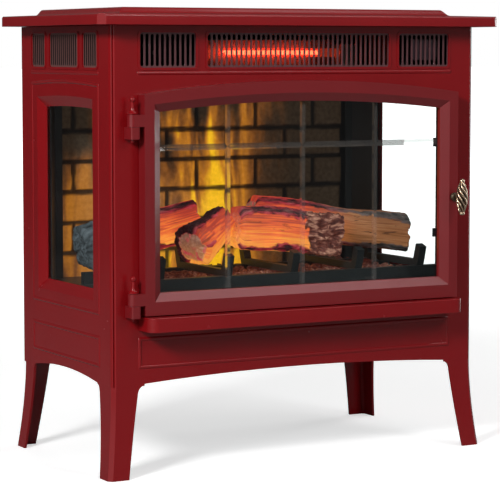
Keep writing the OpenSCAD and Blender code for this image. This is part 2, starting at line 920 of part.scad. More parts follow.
module log_grate() {
    rail_z = fire_floor + sheet + 0.1;
    finger = [[0, 0], [11, 0], [11, 6], [3, finger_top - bar_bottom],
        [-8, finger_top - bar_bottom - 4], [-3, bar_h]];
    color(iron) {
        box([-238, bar_front - 6, rail_z], [252, bar_front + 6, bar_bottom + 1]);
        box([-238, 50, rail_z], [252, 60, bar_bottom + 1]);
        for (x = bar_x) {
            box([x - bar_w / 2, bar_front, bar_bottom],
                [x + bar_w / 2, bar_rear, bar_bottom + bar_h]);
            lateral(x - bar_w / 2, bar_w) {
                translate([bar_front - 3, bar_bottom]) polygon(finger);
                translate([bar_rear + 3, bar_bottom]) mirror([1, 0]) polygon(finger);
            }
        }
    }
}

module ember_bed() {
    z = fire_floor + sheet + 0.2;
    color([0.9, 0.35, 0.08]) {
        lateral(-212, 424) polygon([[-69, z], [48, z], [48, z + 11], [20, z + 13],
            [-30, z + 13], [-60, z + 10], [-69, z + 6]]);
        lateral(-212, 424) polygon([[62, z], [88, z], [88, z + 8], [80, z + 14],
            [66, z + 12], [62, z + 9]]);
    }
}

// A log: a round billet from a to b with one flat split face turned to the front
module log_between(a, b, r) {
    v = b - a;
    l = norm(v);
    tilt = acos(v[2] / l);
    turn = atan2(v[1], v[0]);
    translate(a) rotate([0, tilt, turn]) intersection() {
        cylinder(h = l, r = r);
        translate([-r, -r * 0.8, -1]) cube([2 * r, 2 * r, l + 2]);
    }
}

// This log is notched to sit over the grate's rear finger
module left_rear_log() {
    color(bark) difference() {
        log_between([-228, 70, 283], [-62, 62, 318], 29);
        box([bar_x[0] - bar_w / 2 - gap, bar_rear - 12, bar_bottom],
            [bar_x[0] + bar_w / 2 + gap, bar_rear + 12, finger_top + gap]);
    }
}

module left_front_log() {
    color(bark) log_between([-124, -62, 292], [-78, 4, 306], 24);
}

module centre_log() {
    color(bark) log_between([-52, -36, 307], [112, -42, 297], 33);
}

module right_log() {
    color(bark) log_between([20, 45, 318], [236, 4, 289], 29);
}

// ---- Flame drive ----

module rotor_shaft() {
    color(steel) rod_x(-rotor_l / 2, rotor_l / 2, rotor_y, rotor_z, rotor_r);
}

module rotor_vanes() {
    pitch = 22;
    color([0.85, 0.85, 0.88]) for (i = [0 : vane_count - 1])
        translate([(i - (vane_count - 1) / 2) * pitch, rotor_y, rotor_z])
            rotate([i * 360 / vane_count, 0, 0]) difference() {
                union() {
                    rod_x(-4, 4, 0, 0, rotor_r + 2);
                    box([-9, -0.5, -20], [9, 0.5, 20]);
                }
                rod_x(-10, 10, 0, 0, rotor_r + run);
            }
}

module rotor_supports() {
    color(steel) for (x = [-rotor_support_x, rotor_support_x]) difference() {
        union() {
            box([x - 1, rotor_y - 16, pan_z + sheet + 0.1], [x + 1, rotor_y + 16, rotor_z + 14]);
            rod_x(x - 5, x + 5, rotor_y, rotor_z, rotor_r + 4);
            box([x - 10, rotor_y - 16, pan_z + sheet + 0.1],
                [x + 10, rotor_y + 16, pan_z + sheet + 2]);
        }
        rod_x(x - 20, x + 20, rotor_y, rotor_z, rotor_r + run);
    }
}

module rotor_motor() {
    color(steel) difference() {
        union() {
            rod_x(160, 184, rotor_y, rotor_z, 25);
            box([168, rotor_y - 20, pan_z + sheet + 0.1], [170, rotor_y + 20, rotor_z]);
            box([160, rotor_y - 20, pan_z + sheet + 0.1],
                [180, rotor_y + 20, pan_z + sheet + 2]);
        }
        rod_x(159, 175, rotor_y, rotor_z, rotor_r + run);
    }
}

// A strip board with a row of lamps, standing on two posts from the base pan
module light_board(y, z, hw, lamps) {
    color([0.1, 0.35, 0.15]) {
        box([-hw, y - 8, z], [hw, y + 8, z + 1.6]);
        for (x = [-hw + 8, hw - 8]) rod_z(pan_z + sheet + 0.1, z + 1, x, y, 3);
        for (k = [0 : lamps - 1]) {
            x = -hw + 14 + k * (2 * hw - 28) / (lamps - 1);
            rod_z(z + 1, z + 5, x, y, 2.5);
        }
    }
}

module flame_light_board() {
    light_board(66, 168, 130, 14);
}

module ember_light_board() {
    light_board(-5, 205, 150, 16);
}

// ---- Heater and blower ----

// The square duct round the element, with a thermal cut-out disc under it
module heater_duct() {
    color(steel) front(panel_back + 2, duct_rear - panel_back - 2) difference() {
        translate([-duct_hw, duct_bottom]) square([2 * duct_hw, duct_top - duct_bottom]);
        translate([-duct_hw + 1, duct_bottom + 1])
            square([2 * duct_hw - 2, duct_top - duct_bottom - 2]);
    }
    color(iron) rod_z(duct_bottom - 5, duct_bottom + 0.5, 120, -20, 8);
}

module heater_reflector() {
    color([0.85, 0.85, 0.88]) lateral(-109, 218) translate([tube_y, tube_z])
        intersection() {
            difference() {
                circle(21);
                circle(20);
            }
            polygon([[-4, 0], [-16, 30], [30, 30], [30, -30], [-16, -30]]);
        }
}

module quartz_tube() {
    color([1, 0.5, 0.2]) rod_x(-tube_l / 2, tube_l / 2, tube_y, tube_z, tube_r);
}

module tube_holders() {
    color([0.9, 0.88, 0.82]) for (side = [-1, 1]) difference() {
        translate([side * (tube_l / 2 + 8), tube_y, (duct_bottom + tube_z + 12) / 2 + 0.6])
            cube([26, 18, tube_z + 12 - duct_bottom - 2.2], center = true);
        rod_x(side * (tube_l / 2 + 0.3) - tube_l / 2 - 0.3, side * (tube_l / 2 + 0.3)
            + tube_l / 2 + 0.3, tube_y, tube_z, tube_r + 0.1);
    }
}

module blower_housing() {
    y0 = duct_rear + 0.3;
    color(steel) difference() {
        lateral(-wheel_l / 2 - 12, wheel_l + 24) union() {
            translate([wheel_y, tube_z]) circle(wheel_r + 7);
            translate([y0, tube_z - 22]) square([wheel_y - y0, 44]);
        }
        lateral(-wheel_l / 2 - 10, wheel_l + 20) union() {
            translate([wheel_y, tube_z]) circle(wheel_r + 5);
            translate([y0 - 1, tube_z - 20]) square([wheel_y - y0, 40]);
        }
        rod_x(-wheel_l, wheel_l, wheel_y, tube_z, shaft_r + run);
        for (x = [-100 : 20 : 100]) box([x - 6, wheel_y + 18, tube_z - 8],
            [x + 6, wheel_y + 60, tube_z + 8]);
    }
}

module blower_wheel() {
    color([0.75, 0.75, 0.78]) {
        translate([0, wheel_y, tube_z]) {
            for (side = [-1, 1])
                translate([side * (wheel_l / 2 - 1), 0, 0]) rod_x(-1, 1, 0, 0, wheel_r);
            for (i = [0 : blade_count - 1]) rotate([i * 360 / blade_count, 0, 0])
                translate([0, wheel_r - 5, 0]) rotate([35, 0, 0])
                box([-wheel_l / 2 + 1, -3.5, -0.4], [wheel_l / 2 - 1, 3.5, 0.4]);
            rod_x(-wheel_l / 2 - 16, -wheel_l / 2 + 1, 0, 0, shaft_r);
            rod_x(wheel_l / 2 - 1, wheel_l / 2 + 28, 0, 0, shaft_r);
        }
    }
}

module blower_motor() {
    x0 = wheel_l / 2 + 16;
    color(steel) difference() {
        union() {
            rod_x(x0, x0 + 30, wheel_y, tube_z, 21);
            box([x0 + 4, wheel_y - 16, fire_ceiling + sheet + 0.1],
                [x0 + 6, wheel_y + 16, tube_z]);
        }
        rod_x(x0 - 1, x0 + 16, wheel_y, tube_z, shaft_r + run);
    }
}

module control_board() {
    z = fire_ceiling + sheet + 6;
    color([0.1, 0.35, 0.15]) {
        box([170, -60, z], [252, 20, z + 1.6]);
        for (x = [176, 246], y = [-54, 14])
            rod_z(fire_ceiling + sheet + 0.1, z + 1, x, y, 3);
        box([180, -45, z + 1], [198, -25, z + 18]);
        box([205, -45, z + 1], [223, -25, z + 18]);
        rod_z(z + 1, z + 24, 236, -10, 7);
    }
}

module receiver_window() {
    color([0.05, 0.03, 0.04]) front(panel_back + 1.5, 2)
        round_rect(176, 540, 218, 568, 3);
}

// ---- Controls and cord inlet ----

module control_plate() {
    y0 = rear_y + 0.1;
    color(iron) difference() {
        union() {
            front(y0, 2) round_rect(plate_x - plate_w / 2, plate_z - plate_h / 2,
                plate_x + plate_w / 2, plate_z + plate_h / 2, 4);
            front(y0 - 14, 15) translate([rocker_x - 10, plate_z - 14]) square([20, 28]);
        }
        for (x = button_x) rod_y(y0 - 1, y0 + 3, x, plate_z, button_r + 0.3);
        front(y0 - 12, 20) translate([rocker_x - 8, plate_z - 12]) square([16, 24]);
        rod_x(rocker_x - 11, rocker_x + 11, y0 - 1, plate_z, 1.5 + run);
    }
}

// A sprung push button that slides in the rear plate
module button(x) {
    y0 = rear_y + 0.1;
    color([0.75, 0.75, 0.75]) {
        rod_y(y0 - 1, y0 + 5, x, plate_z, button_r);
        rod_y(y0 - 2.2, y0 - 0.2, x, plate_z, button_r + 2);
    }
}

module left_button() {
    button(button_x[2]);
}

module middle_button() {
    button(button_x[1]);
}

module right_button() {
    button(button_x[0]);
}

// The rocker switch, tilted to its off position
module power_rocker() {
    color([0.8, 0.1, 0.05]) translate([rocker_x, rear_y - 0.9, plate_z])
        rotate([rocker_tilt, 0, 0]) {
            lateral(-7.5, 15) polygon([[-3, -5], [-3, 5], [2.5, 10.5], [4.2, 10.5],
                [2.6, 0], [4.2, -10.5], [2.5, -10.5]]);
            rod_x(-9.5, 9.5, 0, 0, 1.5);
        }
}

module cord_gland() {
    color(iron) difference() {
        union() {
            rod_y(rear_y + 0.1, rear_y + 4, gland_x, gland_z, 12);
            rod_y(rear_y - 10, rear_y + 1, gland_x, gland_z, 8);
            rod_y(rear_y + 3, rear_y + 9, gland_x, gland_z, 7);
        }
        rod_y(rear_y - 11, rear_y + 10, gland_x, gland_z, gland_bore);
    }
}

top_panel();
front_panel();
left_side_panel();
right_side_panel();
rear_panel();
base_pan();
hearth_ledge();
front_left_leg();
front_right_leg();
rear_left_leg();
rear_right_leg();
leg_bolts();
panel_screws();
left_front_grille();
centre_front_grille();
right_front_grille();
left_side_grille();
right_side_grille();
hinge_brackets();
hinge_pins();
latch_strike();
door_frame();
door_glass();
glass_clips();
door_handle();
latch_cam();
left_window();
right_window();
left_liner();
right_liner();
brick_panel();
firebox_floor();
firebox_ceiling();
log_grate();
ember_bed();
left_rear_log();
left_front_log();
centre_log();
right_log();
rotor_shaft();
rotor_vanes();
rotor_supports();
rotor_motor();
flame_light_board();
ember_light_board();
heater_duct();
heater_reflector();
quartz_tube();
tube_holders();
blower_housing();
blower_wheel();
blower_motor();
control_board();
receiver_window();
control_plate();
left_button();
middle_button();
right_button();
power_rocker();
cord_gland();
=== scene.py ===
import json
import math
import random

import bmesh
import bpy
from mathutils import Matrix, Vector, noise

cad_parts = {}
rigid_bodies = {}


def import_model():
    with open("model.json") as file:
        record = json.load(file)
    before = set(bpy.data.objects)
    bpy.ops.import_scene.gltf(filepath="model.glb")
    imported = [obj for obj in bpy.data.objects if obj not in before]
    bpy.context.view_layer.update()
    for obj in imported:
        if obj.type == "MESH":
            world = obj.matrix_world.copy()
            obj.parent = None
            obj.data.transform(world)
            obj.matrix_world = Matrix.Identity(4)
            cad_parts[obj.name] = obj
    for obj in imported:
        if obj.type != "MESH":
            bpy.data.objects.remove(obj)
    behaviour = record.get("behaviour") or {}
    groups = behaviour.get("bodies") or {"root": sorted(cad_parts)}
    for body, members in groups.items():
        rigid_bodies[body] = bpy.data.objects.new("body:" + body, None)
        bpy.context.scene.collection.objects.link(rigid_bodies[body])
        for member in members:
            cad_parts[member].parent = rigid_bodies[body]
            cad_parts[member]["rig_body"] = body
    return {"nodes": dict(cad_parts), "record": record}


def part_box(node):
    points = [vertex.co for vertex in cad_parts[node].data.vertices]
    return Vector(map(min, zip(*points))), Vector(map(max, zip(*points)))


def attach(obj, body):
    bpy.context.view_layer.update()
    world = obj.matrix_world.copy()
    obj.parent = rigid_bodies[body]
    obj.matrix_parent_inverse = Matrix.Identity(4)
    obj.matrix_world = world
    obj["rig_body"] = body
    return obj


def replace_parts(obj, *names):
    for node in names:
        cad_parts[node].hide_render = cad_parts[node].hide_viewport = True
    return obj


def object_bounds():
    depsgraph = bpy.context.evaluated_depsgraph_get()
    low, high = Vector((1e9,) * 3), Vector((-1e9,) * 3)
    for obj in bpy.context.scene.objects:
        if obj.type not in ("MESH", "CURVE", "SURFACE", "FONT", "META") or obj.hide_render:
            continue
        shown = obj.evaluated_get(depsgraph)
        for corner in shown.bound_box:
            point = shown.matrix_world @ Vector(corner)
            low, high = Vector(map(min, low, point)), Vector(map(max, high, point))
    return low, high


# The looks of a freestanding electric stove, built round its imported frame. All in metres.
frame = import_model()
cad_low, cad_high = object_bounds()
scene = bpy.context.scene


# ---- Camera, light and floor ----

def make_camera():
    """A long lens at the front left, a little above the middle of the stove and tilted down."""
    place, down, turn, focal_length = (-1.4749, -2.6719, 0.5523), 4.963, -28.763, 158.8
    camera = bpy.data.objects.new("camera", bpy.data.cameras.new("camera"))
    camera.location = place
    camera.rotation_euler = (math.radians(90 - down), 0, math.radians(turn))
    camera.data.lens = focal_length
    camera.data.sensor_width = 36
    scene.collection.objects.link(camera)
    scene.camera = camera


def make_world(left, right):
    """A white backdrop. What it adds to the light rises from left to right."""
    world = bpy.data.worlds.new("studio")
    world.use_nodes = True
    tree = world.node_tree
    place = tree.nodes.new("ShaderNodeTexCoord")
    parts = tree.nodes.new("ShaderNodeSeparateXYZ")
    sweep = tree.nodes.new("ShaderNodeMapRange")
    sweep.inputs["From Min"].default_value = -1
    sweep.inputs["To Min"].default_value = left
    sweep.inputs["To Max"].default_value = right
    path = tree.nodes.new("ShaderNodeLightPath")
    seen = tree.nodes.new("ShaderNodeMath")
    seen.operation = "MAXIMUM"
    strength = tree.nodes.new("ShaderNodeMath")
    strength.operation = "MAXIMUM"
    background = tree.nodes["Background"]
    background.inputs["Color"].default_value = (1, 1, 1, 1)
    tree.links.new(place.outputs["Generated"], parts.inputs[0])
    tree.links.new(parts.outputs["X"], sweep.inputs["Value"])
    tree.links.new(sweep.outputs[0], strength.inputs[0])
    tree.links.new(path.outputs["Is Camera Ray"], seen.inputs[0])
    tree.links.new(path.outputs["Is Transmission Ray"], seen.inputs[1])
    tree.links.new(seen.outputs[0], strength.inputs[1])
    tree.links.new(strength.outputs[0], background.inputs["Strength"])
    scene.world = world


def area_light(name, place, size, power):
    """A rectangle of light aimed at the middle of the stove, which the camera doesn't see."""
    data = bpy.data.lights.new(name, "AREA")
    data.shape = "RECTANGLE"
    data.size, data.size_y = size
    data.energy = power
    light = bpy.data.objects.new(name, data)
    light.location = place
    aim = (cad_low + cad_high) / 2 - Vector(place)
    light.rotation_euler = aim.to_track_quat("-Z", "Y").to_euler()
    light.visible_camera = False
    scene.collection.objects.link(light)


make_camera()
scene.view_settings.view_transform = "Standard"
make_world(0.03, 0.16)
area_light("key_light", (-2.5, -1.6, 1.8), (0.6, 0.6), 80)
area_light("front_light", (0.9, -2.9, 2.1), (0.9, 0.9), 22)
area_light("top_light", (1.3, -0.9, 2.6), (1.4, 1.4), 11)
area_light("right_light", (3.0, 0.8, 0.6), (1.4, 1.6), 36)
area_light("corner_card", (-3.0, -1.75, 0.6), (4.0, 1.3), 9)
area_light("front_card", (1.9, -3.7, 0.6), (3.0, 1.6), 1.3)
area_light("back_light", (0.25, 3.0, 0.8), (0.8, 0.7), 8)


# ---- Materials ----

class Shader:
    """A node material under construction. Colours are linear."""

    def __init__(self, name, **settings):
        self.material = bpy.data.materials.new(name)
        self.material.use_nodes = True
        self.tree = self.material.node_tree
        self.surface = self.tree.nodes["Principled BSDF"]
        self.output = self.tree.nodes["Material Output"]
        self.place = self.node("TexCoord").outputs["Object"]
        self.set(**settings)

    def plug(self, socket, value):
        if isinstance(value, bpy.types.NodeSocket):
            self.tree.links.new(value, socket)
        elif isinstance(value, tuple) and len(value) == 3 and socket.type == "RGBA":
            socket.default_value = (*value, 1)
        else:
            socket.default_value = value

    def set(self, **settings):
        """Sets or links sockets of the Principled shader: Base_Color, Roughness and so on."""
        for key, value in settings.items():
            self.plug(self.surface.inputs[key.replace("_", " ")], value)

    def node(self, kind, inputs=None, **settings):
        made = self.tree.nodes.new("ShaderNode" + kind)
        for key, value in settings.items():
            setattr(made, key, value)
        for key, value in (inputs or {}).items():
            self.plug(made.inputs[key], value)
        return made

    def stretched(self, x, y, z, vector=None):
        """Coordinates multiplied by x, y and z, so that a texture stretches."""
        return self.node("VectorMath", {0: vector or self.place, 1: (x, y, z)},
                         operation="MULTIPLY").outputs[0]

    def noise(self, scale, detail=3, distortion=0, vector=None):
        return self.node("TexNoise", {"Vector": vector or self.place, "Scale": scale,
                                      "Detail": detail, "Distortion": distortion}).outputs["Fac"]

    def ramp(self, factor, *stops):
        """A colour ramp through (position, colour) stops."""
        made = self.node("ValToRGB", {"Fac": factor})
        elements = made.color_ramp.elements
        while len(elements) < len(stops):
            elements.new(0.5)
        for element, (position, colour) in zip(elements, stops):
            element.position = position
            element.color = (*colour, 1)
        return made.outputs["Color"]

    def mix(self, factor, a, b):
        """Colour a where factor is 0, and colour b where it is 1."""
        return self.node("Mix", {0: factor, 6: a, 7: b}, data_type="RGBA").outputs[2]

    def maths(self, operation, a, b=0.0):
        return self.node("Math", {0: a, 1: b}, operation=operation).outputs[0]

    def spread(self, value, low, high):
        """A value from 0 to 1 spread over low to high."""
        return self.node("MapRange", {"Value": value, "To Min": low, "To Max": high}).outputs[0]

    def between(self, value, low, high):
        """0 at low, 1 at high and smooth in between."""
        return self.node("MapRange", {"Value": value, "From Min": low, "From Max": high},
                         interpolation_type="SMOOTHSTEP").outputs[0]

    def product(self, *values):
        result = values[0]
        for value in values[1:]:
            result = self.maths("MULTIPLY", result, value)
        return result

    def attribute(self, name, output="Fac"):
        return self.node("Attribute", attribute_name=name).outputs[output]

    def split(self, vector=None):
        return self.node("SeparateXYZ", {"Vector": vector or self.place}).outputs

    def bump(self, height, distance):
        made = self.node("Bump", {"Height": height, "Distance": distance})
        self.set(Normal=made.outputs["Normal"])


def enamel(name, colour, shade, roughness=0.24, level=0.4):
    """Gloss enamel on steel: a faint orange peel and slow changes of shade."""
    s = Shader(name, Coat_Weight=0.15, Coat_Roughness=0.06, Specular_IOR_Level=level)
    s.set(Base_Color=s.ramp(s.noise(9, 4), (0.3, shade), (0.7, colour)),
          Roughness=s.spread(s.noise(60, 4), roughness - 0.04, roughness + 0.06))
    s.bump(s.noise(420, 2), 0.00006)
    return s.material


def barred(name, axis, face, painted_wall_shade):
    """Satin enamel on a grille that faces along axis, with painted shade on the walls of its slots.
    """
    s = Shader(name, Coat_Weight=0.1, Roughness=0.35)
    facing = s.split(s.node("TexCoord").outputs["Normal"])
    flat = s.between(s.maths("ABSOLUTE", facing[axis]), 0.55, 0.85)
    speck = s.spread(s.noise(300, 3), 0.75, 1.2)
    # painted shade: the slot walls, picked out by their facing, take the dark wall colour; the
    # faces take the speckled enamel
    s.set(Base_Color=s.mix(flat, painted_wall_shade, s.mix(speck, (0.0, 0.0, 0.0), face)))
    s.bump(s.noise(420, 2), 0.00006)
    return s.material


def satin(name, colour, roughness, grain=900, depth=0.00004):
    """A plain finish with a fine speckle in colour, gloss and height."""
    s = Shader(name)
    speck = s.noise(grain, 3)
    lighter = tuple(min(1, c * 1.45 + 0.003) for c in colour)
    s.set(Base_Color=s.mix(s.between(speck, 0.35, 0.7), colour, lighter),
          Roughness=s.spread(speck, roughness - 0.1, roughness + 0.1))
    s.bump(speck, depth)
    return s.material


def brushed(name, colour, roughness):
    """Rolled metal with fine lines along X and a little staining."""
    s = Shader(name, Metallic=1.0)
    lines = s.noise(60, 4, vector=s.stretched(2, 40, 40))
    stain = s.noise(25, 5)
    s.set(Base_Color=s.mix(s.spread(stain, 0.0, 0.5), colour, tuple(c * 0.6 for c in colour)),
          Roughness=s.spread(lines, roughness - 0.1, roughness + 0.15))
    s.bump(lines, 0.00003)
    return s.material


def clear_glass():
    """Clear glass, whose bevelled V grooves bend the view and scatter a little light."""
    s = Shader("clear_glass")
    facing = s.split(s.node("TexCoord").outputs["Normal"])
    square_on = s.maths("MAXIMUM", s.maths("ABSOLUTE", facing["X"]),
                        s.maths("ABSOLUTE", facing["Y"]))
    groove = s.between(square_on, 0.985, 0.965)
    clear = s.node("BsdfTransparent", {"Color": (0.97, 0.985, 0.98)}).outputs[0]
    gloss = s.node("BsdfGlossy", {"Color": (1, 1, 1), "Roughness": 0.02}).outputs[0]
    bent = s.node("BsdfRefraction", {"Color": (0.95, 0.96, 0.95), "Roughness": 0.12,
                                     "IOR": 1.25}).outputs[0]
    mist = s.node("BsdfDiffuse", {"Color": s.ramp(s.noise(40), (0.3, (0.45, 0.43, 0.4)),
                                                  (0.7, (0.6, 0.57, 0.53)))}).outputs[0]
    frosted = s.node("MixShader", {0: 0.1, 1: bent, 2: mist}).outputs[0]
    cut = s.node("MixShader", {0: s.spread(groove, 0.0, 0.7), 1: clear, 2: frosted}).outputs[0]
    outside = s.maths("SUBTRACT", 1.0, s.node("NewGeometry").outputs["Backfacing"])
    shine = s.product(s.node("Fresnel", {"IOR": 1.45}).outputs[0], outside)
    s.plug(s.output.inputs["Surface"],
           s.node("MixShader", {0: shine, 1: cut, 2: gloss}).outputs[0])
    s.tree.nodes.remove(s.surface)
    return s.material


def dark_lens():
    """Deep red plastic, clear to infrared light only."""
    s = Shader("dark_lens", Roughness=0.12, Coat_Weight=0.5)
    s.set(Base_Color=s.ramp(s.noise(80), (0.3, (0.012, 0.004, 0.008)),
                            (0.7, (0.03, 0.008, 0.014))))
    return s.material


def circuit_board(name, top, lamp):
    """Green board with copper tracks up to the height top, and lamps or parts above it."""
    s = Shader(name, Roughness=0.35)
    tracks = s.node("TexBrick", {"Vector": s.stretched(1, 1, 0), "Scale": 90, "Mortar Size": 0.012,
                                 "Color1": (0.01, 0.11, 0.035), "Color2": (0.012, 0.13, 0.045),
                                 "Mortar": (0.05, 0.24, 0.09)}).outputs["Color"]
    above = s.between(s.split()["Z"], top, top + 0.0004)
    darker = tuple(c * 0.7 for c in lamp)
    s.set(Base_Color=s.mix(above, tracks, s.ramp(s.noise(200), (0.4, lamp), (0.6, darker))))
    s.bump(s.noise(300), 0.0001)
    return s.material


def flames(s, x, z):
    """How bright the flame picture is at x and z, from 0 to 1: tongues that thin out with
    height over an amber glow, faded out at both sides."""
    curl = s.noise(1, 2, vector=s.stretched(9, 0, 5))
    shifted = s.maths("SUBTRACT", x, 0.078)
    along = s.node("CombineXYZ", {"X": s.maths("ADD", s.maths("MULTIPLY", shifted, 24),
                                                s.maths("MULTIPLY", curl, 1.6)),
                                  "Z": s.maths("MULTIPLY", z, 5.2)}).outputs[0]
    streak = s.noise(1, 3, 0.35, along)
    fine = s.noise(1, 3, 0.5, s.stretched(2.6, 1, 2.2, along))
    field = s.maths("ADD", s.maths("MULTIPLY", streak, 0.75), s.maths("MULTIPLY", fine, 0.25))
    height = s.node("MapRange", {"Value": z, "From Min": 0.29, "From Max": 0.49,
                                 "To Min": 0.36, "To Max": 0.54}).outputs[0]
    tongue = s.between(s.maths("SUBTRACT", field, height), -0.07, 0.2)
    amber = s.product(s.between(z, 0.44, 0.30), 0.2)
    right = s.between(x, 0.15, 0.01)
    left = s.maths("MAXIMUM", s.between(x, -0.19, -0.12),
                   s.maths("MULTIPLY", s.between(z, 0.425, 0.385), 0.5))
    return s.product(s.maths("MAXIMUM", tongue, amber), right, left)


def brick():
    """Brown moulded bricks with dark joints. The flame light is painted on the brick faces as glow.
    """
    s = Shader("brick", Roughness=0.85)
    face = s.attribute("face")
    tone = s.attribute("tone")
    x, _, z = s.split()
    grit = s.noise(160, 5)
    clay = s.mix(s.between(grit, 0.3, 0.7), (0.055, 0.042, 0.026), (0.115, 0.09, 0.058))
    clay = s.mix(s.spread(tone, 0.0, 0.45), clay, (0.035, 0.03, 0.024))
    s.set(Base_Color=s.mix(face, (0.006, 0.005, 0.004), clay))
    # painted light: the flame picture shone onto the panel is painted on the bricks as glow, dimmed
    # in the joints and by the grit as painted shade
    painted_flame_light = flames(s, x, z)
    glow = s.ramp(painted_flame_light, (0.0, (0.018, 0.010, 0.005)), (0.25, (0.19, 0.058, 0.008)),
                  (0.6, (0.55, 0.19, 0.012)), (0.9, (1.0, 0.52, 0.01)))
    shade = s.product(s.spread(face, 0.08, 1.0), s.spread(grit, 0.75, 1.15))
    s.set(Emission_Color=s.mix(shade, (0.0, 0.0, 0.0), glow), Emission_Strength=1.0)
    s.bump(grit, 0.0004)
    return s.material


def log_wood(name, natural_from=8.0, rough_from=8.0, cold_below=-8.0, end_glow=0.1):
    """A split log with a painted glow. Its mesh says where: bark runs from 0 on the split faces
    over 0.5 at the bark's edge to 1 deep in it, lift runs up the split face, end is 1 on the
    sawn ends, and grain holds coordinates along and across the log. Along x it is burnt out to
    slate grey up to cold_below, then carries the painted glow, and fades to natural wood from
    natural_from or turns to torn wood from rough_from. end_glow is how much painted glow the sawn
    ends get too."""
    s = Shader(name, Roughness=0.8)
    grain_place = s.attribute("grain", "Vector")
    end = s.maths("MULTIPLY", s.attribute("end"), 1 - end_glow)
    x, _, _ = s.split()
    natural = s.between(x, natural_from, natural_from + 0.09)
    cold = s.between(x, cold_below + 0.02, cold_below)
    grain = s.noise(1, 5, 0.3, s.stretched(16, 420, 420, grain_place))
    crack = s.between(s.noise(1, 4, 0.8, s.stretched(22, 130, 130, grain_place)), 0.6, 0.7)
    char = s.noise(1, 5, 0.4, s.stretched(60, 190, 190, grain_place))
    depth = s.maths("ADD", s.attribute("bark"), s.spread(char, -0.16, 0.16))
    torn = s.between(s.maths("ADD", x, s.spread(s.noise(45, 4, 0.5), -0.018, 0.018)),
                     rough_from, rough_from + 0.003)
    coarse = s.maths("MAXIMUM", s.between(depth, 0.44, 0.54), s.maths("MAXIMUM", torn, cold))
    fresh = s.ramp(grain, (0.3, (0.26, 0.09, 0.03)), (0.5, (0.5, 0.2, 0.075)),
                   (0.75, (0.66, 0.33, 0.15)))
    fresh = s.mix(s.product(crack, s.spread(natural, 0.3, 1.0)), fresh, (0.06, 0.02, 0.01))
    shaded = s.mix(natural, s.mix(0.7, fresh, (0.0, 0.0, 0.0)), fresh)
    sawn = s.ramp(s.noise(140, 5), (0.38, (0.07, 0.035, 0.03)), (0.5, (0.3, 0.17, 0.12)),
                  (0.64, (0.55, 0.38, 0.3)))
    sooty = s.mix(end, shaded, sawn)
    burnt = s.ramp(char, (0.35, (0.012, 0.006, 0.007)), (0.52, (0.075, 0.02, 0.022)),
                   (0.7, (0.26, 0.12, 0.11)))
    splinters = s.ramp(char, (0.4, (0.014, 0.005, 0.004)), (0.5, (0.12, 0.036, 0.026)),
                       (0.62, (0.55, 0.29, 0.2)))
    ash = s.ramp(char, (0.35, (0.035, 0.032, 0.03)), (0.65, (0.2, 0.175, 0.16)))
    slate = s.ramp(char, (0.35, (0.012, 0.018, 0.022)), (0.65, (0.13, 0.16, 0.18)))
    skin = s.mix(cold, s.mix(torn, s.mix(natural, burnt, ash), splinters), slate)
    s.set(Base_Color=s.mix(coarse, sooty, skin))
    # painted glow on the split faces: bright orange low down and dark crimson higher up, as painted
    # light from below, and dimmed in the cracks
    painted_split_glow = s.ramp(s.maths("ADD", s.attribute("lift"),
                          s.spread(s.between(grain, 0.32, 0.68), -0.32, 0.28)),
                  (0.0, (1.0, 0.36, 0.05)), (0.4, (0.9, 0.19, 0.03)),
                  (0.7, (0.72, 0.08, 0.024)), (1.0, (0.36, 0.018, 0.015)))
    patch = s.spread(s.noise(28, 4), 1.25, 0.6)
    painted_split_glow = s.mix(s.spread(crack, 0.0, 0.75), painted_split_glow, (0.16, 0.012, 0.006))
    # painted highlight: a crimson glow on the bark along the split edges, dulled on the torn wood
    rim = s.product(s.between(depth, 0.85, 0.5), s.between(char, 0.38, 0.6))
    painted_glow_tone = s.mix(rim, (0.012, 0.001, 0.002), (0.4, 0.012, 0.026))
    painted_glow_tone = s.mix(torn, painted_glow_tone, (0.05, 0.008, 0.004))
    # painted crimson glow streaks on the sawn ends, and the painted glow's strength: patchy, faded
    # on natural wood and none on slate
    streak = s.product(s.between(s.noise(45, 3, 0.8), 0.55, 0.66), end)
    heat = s.product(s.spread(natural, 1.0, 0.05), s.spread(cold, 1.0, 0.0), patch)
    # painted glow on the sawn ends: orange low down and paler higher up, as painted shade
    painted_end_glow = s.mix(s.spread(s.attribute("lift"), 0.0, 1.0), (0.36, 0.13, 0.045), (0.15, 0.085, 0.062))
    lit = s.mix(coarse, s.mix(end, painted_split_glow, painted_end_glow), painted_glow_tone)
    s.set(Emission_Color=s.mix(streak, lit, (0.5, 0.02, 0.05)), Emission_Strength=heat)
    s.bump(s.mix(coarse, grain, char), 0.0009)
    return s.material


def ember():
    """Translucent coals with a painted glow: bright in the gaps and low down, dim on top, where
    their ashen colour shows.
    """
    s = Shader("ember", Roughness=0.75)
    grit = s.noise(190, 4, 0.4)
    s.set(Base_Color=s.ramp(grit, (0.35, (0.02, 0.007, 0.006)), (0.52, (0.12, 0.045, 0.032)),
                            (0.7, (0.4, 0.24, 0.15))))
    # painted glow: its strength comes from the glow values stored on the mesh, with patchy noise
    painted_glow_tone = s.maths("MULTIPLY", s.attribute("heat"), s.spread(s.noise(38, 3), 0.2, 1.75))
    s.set(Emission_Color=s.ramp(painted_glow_tone, (0.26, (0.03, 0.004, 0.002)), (0.42, (0.65, 0.12, 0.014)),
                                (0.6, (1.0, 0.33, 0.03)), (0.9, (1.0, 0.6, 0.1))),
          Emission_Strength=1.0)
    s.bump(grit, 0.0008)
    return s.material


